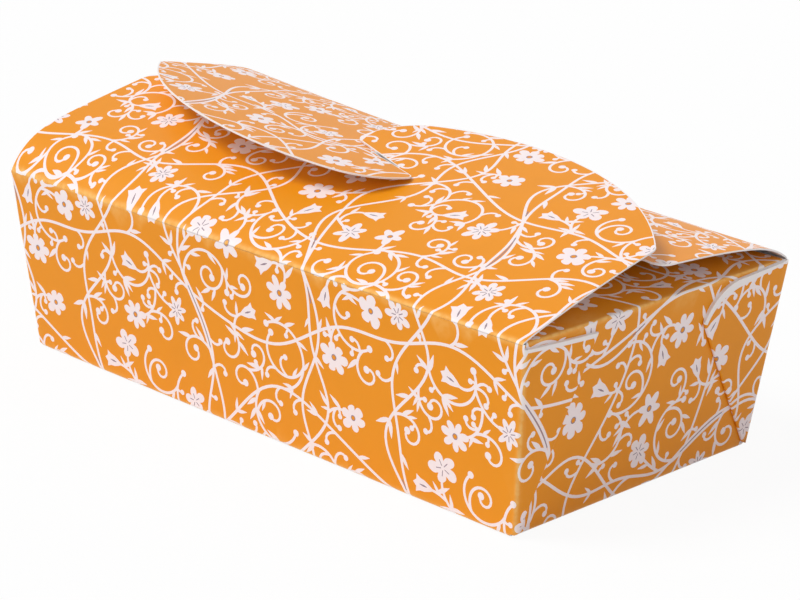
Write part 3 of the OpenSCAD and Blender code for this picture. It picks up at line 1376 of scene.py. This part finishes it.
@dataclass
class LongFlap:
    """Long flap, bowed over the top, with an S-shaped free edge.

    Above its crease it lies at g (1 - exp(-d / run)) + s d - b d ** 2, with d the distance
    in from the crease, less curl exp(-d / curl_run) right at the crease. The shoulder g,
    its run, the slope s and the sag b change along the flap, from its narrow end to its
    lobe end.
    """

    side: Side
    body: str
    shoulder: tuple[float, float, float]
    slope: Span
    sag: Span
    run: Span
    bare: float = 0.7
    curl: float = 0.5
    curl_run: float = 0.12
    stretch: float = 1.07
    overlap: float = 31.0
    peak: float = 30.0
    tip: float = 4.0
    tip_short: float = 5.5
    narrow_over: float = 1.0
    hook: float = 20.6
    hook_x: float = 2.9
    nose: float = 3.0
    slit_slope: float = 0.3
    slit_gap: float = 0.5
    throat: float = 8.0
    relief: Span = (6.0, 0.5)
    slope_step: float = 0.005
    columns: int = 37
    near_rows: tuple[float, ...] = (
        0.05, 0.12, 0.22, 0.36, 0.6, 0.95, 1.4, 2.0, 2.7, 3.5, 4.5, 5.7, 7.1, 8.8, 11.0, 13.8,
    )
    far_rows: Span = (17.5, 92.0)
    row_step: float = 5.5

    def __post_init__(self) -> None:
        """Works out where the flap ends and where its crease lies."""
        self.end = SIZES.top_half_length - SIZES.board / 2
        self.hinge = SIZES.top_half_depth - SIZES.board / 2
        self.crease = SIZES.half_depth + SIZES.slant

    def lift(self, x: Array, d: Array) -> Array:
        """Height of the middle of the board above the crease.

        The shoulder runs along the flap on the parabola through its three values.

        Args:
            x: Places along the flap.
            d: Distances in from the crease.

        Returns:
            The heights.
        """
        t = (x + self.end) / (2 * self.end)
        g0, g1, g2 = self.shoulder
        g = g0 * (1 - t) * (1 - 2 * t) + g1 * 4 * t * (1 - t) + g2 * t * (2 * t - 1)
        s = self.slope[0] + (self.slope[1] - self.slope[0]) * t
        b = self.sag[0] + (self.sag[1] - self.sag[0]) * t
        run = self.run[0] + (self.run[1] - self.run[0]) * t
        rise = g * (1 - np.exp(-d / run)) + s * d - b * d**2
        return rise - self.curl * np.exp(-np.maximum(d, 0) / self.curl_run)

    def middle(self, x: Array, d: Array) -> Array:
        """Place of the middle of the board."""
        return np.stack([x, d - self.hinge, SIZES.wall_height + self.lift(x, d)], -1)

    def fold(self, flat: Array, height: float) -> Array:
        """Carries points of the blank onto the bowed flap.

        The board's two faces lie half its thickness from its middle, along the cross
        product of the middle's slopes.

        Args:
            flat: Places in the blank.
            height: Height on the print side.

        Returns:
            Places in the box, in millimetres.
        """
        turn = self.side.value
        p = flat * turn
        x, d = p[:, 0], (-p[:, 1] - self.crease) / self.stretch
        e = self.slope_step
        along = self.middle(x + e, d) - self.middle(x - e, d)
        into = self.middle(x, d + e) - self.middle(x, d - e)
        n = np.cross(along, into)
        n /= np.linalg.norm(n, axis=1)[:, None]
        q = self.middle(x, d) + n * (height + SIZES.board / 2)
        return q * (turn, turn, 1)

    def edge(self) -> Array:
        """Free edge in plan, from the narrow end to the lobe: along, and in from the crease.

        The narrow half runs straight to a point that lies by the relief before the throat,
        and so leaves room for the other flap's hook. From the throat a line that climbs by
        slit_slope goes back along the hook and round its nose into a circle, which runs
        tangent into the long arc of the lobe. That one runs tangent into the tip.

        Returns:
            The points in order.
        """
        h, end, tip = self.hinge, self.end, self.tip
        lobe, tip_d = h + self.overlap, h - self.tip_short
        tip_c = np.array([end - tip, tip_d])
        run, rise = tip_c[0] - self.peak, lobe - tip_d
        big = (run**2 + rise**2 - tip**2) / (2 * (rise - tip))
        big_c = np.array([self.peak, lobe - big])
        side = self.peak - self.hook_x
        hook_c = np.array([self.hook_x, big_c[1] + math.sqrt((big - self.hook) ** 2 - side**2)])
        nose_c = self._nose(hook_c)
        corner = np.array([-end + tip, h + self.narrow_over - tip])
        slit = math.degrees(math.atan2(1, self.slit_slope))
        at_tip, at_hook, at_nose = (
            math.degrees(math.atan2(*(p - c)[::-1]))
            for p, c in ((tip_c, big_c), (hook_c, big_c), (nose_c, hook_c))
        )
        throat = np.array([self.throat, h + self.slit_gap - self.slit_slope * self.throat])
        return np.concatenate([
            arc(corner, tip, 180, 90, 7),
            [throat - self.relief, throat],
            arc(nose_c, self.nose, 180 + slit, at_nose, 10),
            arc(hook_c, self.hook, at_nose, at_hook, 16),
            arc(big_c, big, at_hook, at_tip, 30),
            arc(tip_c, tip, at_tip, 0, 7),
        ])

    def _nose(self, hook_c: Array) -> Array:
        """Middle of the hook's nose, which touches the slit's line and the hook's circle.

        With s the slit's slope and u the height of the line of such middles over hook_c at
        x = 0, it solves (x - hook_x) ** 2 + (u - s x) ** 2 = (hook - nose) ** 2.

        Args:
            hook_c: Middle of the hook's circle.

        Returns:
            Middle of the nose.
        """
        s, radius = self.slit_slope, self.hook - self.nose
        rise = self.hinge + self.slit_gap + self.nose * math.hypot(1, s)
        u = rise - hook_c[1]
        a, b = 1 + s**2, hook_c[0] + s * u
        x = (b - math.sqrt(b**2 - a * (hook_c[0] ** 2 + u**2 - radius**2))) / a
        return np.array([x, rise - s * x])

    def sheet(self) -> Sheet:
        """The flap with its guides.

        Returns:
            The sheet, ready to build.
        """
        edge = np.concatenate([[[-self.end, 0.0]], self.edge(), [[self.end, 0.0]]])
        flat = self._blank(edge)
        outline = without_repeats(flat if signed_area(flat) > 0 else flat[::-1])
        rows = np.concatenate([self.near_rows, np.arange(*self.far_rows, self.row_step)])
        xs = np.linspace(-self.end, self.end, self.columns)
        guides = [self._blank(np.column_stack([xs, np.full_like(xs, d)])) for d in rows]
        crease = self._blank(np.array([[-self.end, 0.0], [self.end, 0.0]]))
        free = self.edge()
        throat = int(np.argmax(free[:, 0] == self.throat))
        cuts = [margin(self._blank(run), self.bare) for run in (free[: throat + 1], free[throat:])]
        return Sheet(
            f"{self.body}_sheet", outline, self.fold, guides, [crease], self.body, cuts
        )

    def _blank(self, plan: Array) -> Array:
        """Carries plan places into the blank."""
        y = -(self.crease + plan[:, 1] * self.stretch)
        return np.column_stack([plan[:, 0], y]) * self.side.value


FRONT_FLAP = LongFlap(
    Side.FRONT, "front_flap",
    shoulder=(10.0, 2.8, 0.4), slope=(0.21, 0.33), sag=(0.0, 0.0011), run=(6.5, 4.0),
)
BACK_FLAP = LongFlap(
    Side.BACK, "back_flap",
    shoulder=(4.4, 8.6, 15.6), slope=(0.13, 0.19), sag=(0.0008, 0.0), run=(7.0, 5.0),
)


# Finishes


def linear(colour: Colour) -> tuple[float, float, float, float]:
    """Turns a colour as it is seen into a shader's linear colour.

    Args:
        colour: Red, green and blue from 0 to 255.

    Returns:
        Red, green, blue and full cover from 0 to 1.
    """
    c = np.array(colour, float) / 255
    out = np.where(c <= 0.04045, c / 12.92, ((c + 0.055) / 1.055) ** 2.4)
    return (*out.tolist(), 1.0)


@dataclass
class Nodes:
    """Node tree of one material, with the few kinds of node that the board needs."""

    tree: bpy.types.NodeTree

    def __post_init__(self) -> None:
        """Adds the coordinates that every pattern reads."""
        self.place = self.add("TexCoord").outputs["Object"]

    def add(self, kind: str) -> bpy.types.Node:
        """New shader node of a kind."""
        return self.tree.nodes.new(f"ShaderNode{kind}")

    def link(self, source: bpy.types.NodeSocket, target: bpy.types.NodeSocket) -> None:
        """Joins an output to an input."""
        self.tree.links.new(source, target)

    def noise(self, scale: float, detail: float) -> bpy.types.NodeSocket:
        """Cloudy pattern on the object.

        Args:
            scale: How fine it is.
            detail: How many finer layers it has.

        Returns:
            Its value, from 0 to 1.
        """
        node = self.add("TexNoise")
        node.inputs["Scale"].default_value = scale
        node.inputs["Detail"].default_value = detail
        self.link(self.place, node.inputs["Vector"])
        return node.outputs["Fac"]

    def ranged(self, value: bpy.types.NodeSocket, old: Span, new: Span) -> bpy.types.NodeSocket:
        """Carries a value from one range to another.

        Args:
            value: The value.
            old: Range that it has.
            new: Range that it gets.

        Returns:
            The new value.
        """
        node = self.add("MapRange")
        names = ("From Min", "From Max", "To Min", "To Max")
        for name, number in zip(names, (*old, *new)):
            node.inputs[name].default_value = number
        self.link(value, node.inputs["Value"])
        return node.outputs["Result"]


@dataclass(frozen=True)
class CoatedBoard:
    """Printed and coated board: an even ink with a slight sheen, and a painted highlight along the
    creases.

    The ink's brightness wavers by the mottle in soft clouds. A lighter colour, a painted
    highlight that also stands for worn coating, shows in specks where the crease attribute
    is high. Fine fibres give the surface its grain.
    """

    name: str
    colour: Colour
    # Lighter colour of the painted highlight and wear along the creases.
    highlight_and_wear: Colour
    roughness: float = 0.42
    specular: float = 0.2
    mottle: float = 0.035
    grain: float = 0.04
    cloud_scale: float = 90.0
    cloud_detail: float = 6.0
    speck_scale: float = 500.0
    speck_detail: float = 2.0
    speck_range: Span = (0.25, 0.65)
    speck_share: Span = (0.35, 1.0)
    fibre_scale: float = 2600.0
    fibre_detail: float = 3.0
    fibre_height: float = 0.0001

    def material(self) -> bpy.types.Material:
        """Builds the node material.

        Returns:
            The material.
        """
        m = bpy.data.materials.new(self.name)
        m.use_nodes = True
        shader = m.node_tree.nodes["Principled BSDF"]
        nodes = Nodes(m.node_tree)
        nodes.link(self._colour(nodes), shader.inputs["Base Color"])
        nodes.link(self._fibres(nodes), shader.inputs["Normal"])
        shader.inputs["Roughness"].default_value = self.roughness
        shader.inputs["Specular IOR Level"].default_value = self.specular
        return m

    def _colour(self, nodes: Nodes) -> bpy.types.NodeSocket:
        """Colour of the board: the mottled ink, and a painted highlight with wear along the creases.

        Args:
            nodes: The material's nodes.

        Returns:
            The colour.
        """
        tone = nodes.add("HueSaturation")
        tone.inputs["Color"].default_value = linear(self.colour)
        clouds = nodes.noise(self.cloud_scale, self.cloud_detail)
        mottled = nodes.ranged(clouds, (0.0, 1.0), (1 - self.mottle, 1 + self.mottle))
        nodes.link(mottled, tone.inputs["Value"])
        # Painted highlight along the creases: the crease nearness, broken into specks like worn
        # coating, mixes in the lighter colour.
        crease = nodes.add("Attribute")
        crease.attribute_name = "crease"
        specks = nodes.noise(self.speck_scale, self.speck_detail)
        highlight_and_wear = nodes.add("Math")
        highlight_and_wear.operation = "MULTIPLY"
        nodes.link(crease.outputs["Fac"], highlight_and_wear.inputs[0])
        nodes.link(nodes.ranged(specks, self.speck_range, self.speck_share), highlight_and_wear.inputs[1])
        mix = nodes.add("Mix")
        mix.data_type = "RGBA"
        nodes.link(highlight_and_wear.outputs["Value"], mix.inputs["Factor"])
        nodes.link(tone.outputs["Color"], mix.inputs["A"])
        mix.inputs["B"].default_value = linear(self.highlight_and_wear)
        return mix.outputs["Result"]

    def _fibres(self, nodes: Nodes) -> bpy.types.NodeSocket:
        """Fine grain of the board.

        Args:
            nodes: The material's nodes.

        Returns:
            The uneven normal.
        """
        bump = nodes.add("Bump")
        bump.inputs["Strength"].default_value = self.grain
        bump.inputs["Distance"].default_value = self.fibre_height
        nodes.link(nodes.noise(self.fibre_scale, self.fibre_detail), bump.inputs["Height"])
        return bump.outputs["Normal"]


def board_inks() -> list[bpy.types.Material]:
    """Makes the materials of the sheets.

    Returns:
        The materials, in the order of Ink.
    """
    finishes = (
        # The second colour of each finish is the painted highlight and wear along its creases.
        CoatedBoard("orange_print", (239, 149, 14), (253, 196, 112)),
        CoatedBoard("white_print", (251, 237, 238), (253, 246, 244), mottle=0.01),
        CoatedBoard("lilac_line", (150, 128, 140), (190, 175, 180)),
        CoatedBoard("plain_board", (248, 241, 240), (249, 244, 242), roughness=0.7, mottle=0.015),
    )
    return [finish.material() for finish in finishes]


# Studio


@dataclass
class Studio:
    """Pale floor, white surround, a soft lamp and the camera."""

    eye: tuple[float, float, float] = (0.516119, -0.527273, 0.277671)
    aim: tuple[float, float, float] = (0.08850, -0.08348, 0.07105)
    roll: float = math.radians(1.797)
    lens: float = 115.362
    sun_from: tuple[float, float, float] = (-0.30, -0.37, 0.65)
    sun_strength: float = 1.75
    sun_width: float = 24.0
    ambient: float = 0.5
    floor_reach: float = 6.0
    floor_tone: float = 0.92
    floor_below: float = 0.0002
    floor_white: float = 0.93

    def camera(self) -> None:
        """Sets the camera: it looks from eye to aim and is turned by roll about that line."""
        data = bpy.data.cameras.new("camera")
        data.lens, data.sensor_width, data.clip_end = self.lens, 36.0, 20.0
        cam = bpy.data.objects.new("camera", data)
        bpy.context.scene.collection.objects.link(cam)
        ahead = (Vector(self.aim) - Vector(self.eye)).normalized()
        right = ahead.cross(Vector((0, 0, 1))).normalized()
        up = right.cross(ahead)
        c, s = math.cos(self.roll), math.sin(self.roll)
        r, u = c * right + s * up, c * up - s * right
        cam.matrix_world = Matrix.Translation(self.eye) @ Matrix(
            [[r[i], u[i], -ahead[i]] for i in range(3)]
        ).to_4x4()
        bpy.context.scene.camera = cam

    def sun(self) -> None:
        """Adds the soft main light, from the front left and above."""
        data = bpy.data.lights.new("sun", "SUN")
        data.energy, data.angle = self.sun_strength, math.radians(self.sun_width)
        lamp = bpy.data.objects.new("sun", data)
        bpy.context.scene.collection.objects.link(lamp)
        lamp.rotation_euler = Vector(self.sun_from).to_track_quat("Z", "Y").to_euler()

    def floor(self) -> None:
        """Adds the pale floor: the eye sees it mostly white, with a share of its shading."""
        mesh = bpy.data.meshes.new("floor")
        r = self.floor_reach
        mesh.from_pydata([(-r, -r, 0), (r, -r, 0), (r, r, 0), (-r, r, 0)], [], [(0, 1, 2, 3)])
        floor = bpy.data.objects.new("floor", mesh)
        bpy.context.scene.collection.objects.link(floor)
        floor.location.z = -self.floor_below
        m = bpy.data.materials.new("floor")
        m.use_nodes = True
        nodes, links = m.node_tree.nodes, m.node_tree.links
        shaded = nodes["Principled BSDF"]
        shaded.inputs["Base Color"].default_value = (*[self.floor_tone] * 3, 1)
        shaded.inputs["Roughness"].default_value = 0.9
        shaded.inputs["Specular IOR Level"].default_value = 0.1
        white = nodes.new("ShaderNodeEmission")
        mix = nodes.new("ShaderNodeMixShader")
        share = nodes.new("ShaderNodeMath")
        share.operation = "MULTIPLY"
        share.inputs[1].default_value = self.floor_white
        links.new(self._seen(nodes, links), share.inputs[0])
        links.new(share.outputs["Value"], mix.inputs["Fac"])
        links.new(shaded.outputs["BSDF"], mix.inputs[1])
        links.new(white.outputs["Emission"], mix.inputs[2])
        links.new(mix.outputs["Shader"], nodes["Material Output"].inputs["Surface"])
        mesh.materials.append(m)

    @staticmethod
    def _seen(nodes: bpy.types.Nodes, links: bpy.types.NodeLinks) -> bpy.types.NodeSocket:
        """Marks rays of the eye, of a reflection and of a view through something.

        Args:
            nodes: Nodes of the material or the world.
            links: Their links.

        Returns:
            One for such rays, else nought.
        """
        ray = nodes.new("ShaderNodeLightPath")
        either = ray.outputs["Is Camera Ray"]
        for kind in ("Is Glossy Ray", "Is Transmission Ray"):
            most = nodes.new("ShaderNodeMath")
            most.operation = "MAXIMUM"
            links.new(either, most.inputs[0])
            links.new(ray.outputs[kind], most.inputs[1])
            either = most.outputs["Value"]
        return either

    def world(self) -> None:
        """Lights the surround: a plain level for the object, and white to the eye."""
        world = bpy.data.worlds.new("studio")
        bpy.context.scene.world = world
        world.use_nodes = True
        nodes, links = world.node_tree.nodes, world.node_tree.links
        nodes.clear()
        out = nodes.new("ShaderNodeOutputWorld")
        seen, lit = nodes.new("ShaderNodeBackground"), nodes.new("ShaderNodeBackground")
        for node, strength in ((seen, 1.0), (lit, self.ambient)):
            node.inputs["Color"].default_value = (1, 1, 1, 1)
            node.inputs["Strength"].default_value = strength
        mix = nodes.new("ShaderNodeMixShader")
        links.new(self._seen(nodes, links), mix.inputs["Fac"])
        links.new(lit.outputs["Background"], mix.inputs[1])
        links.new(seen.outputs["Background"], mix.inputs[2])
        links.new(mix.outputs["Shader"], out.inputs["Surface"])

    def build(self) -> None:
        """Sets up the whole studio."""
        bpy.context.scene.view_settings.view_transform = "Standard"
        self.camera()
        self.floor()
        self.world()
        self.sun()


# Main


def main() -> None:
    """Builds every sheet of the box in order and sets up the studio."""
    logging.basicConfig(level=logging.INFO, format="%(message)s")
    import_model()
    Studio().build()
    inks = board_inks()
    vine = VinePrint().grow()
    walls = WallSheet().sheet().build(vine, inks)
    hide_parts("carton_body")
    for side in Side:
        EndSheet(side).sheet().build(vine, inks)
    front = FRONT_FLAP.sheet().build(vine, inks)
    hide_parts("front_flap")
    back = BACK_FLAP.sheet().build(vine, inks)
    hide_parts("back_flap")


if __name__ == "__main__":
    main()
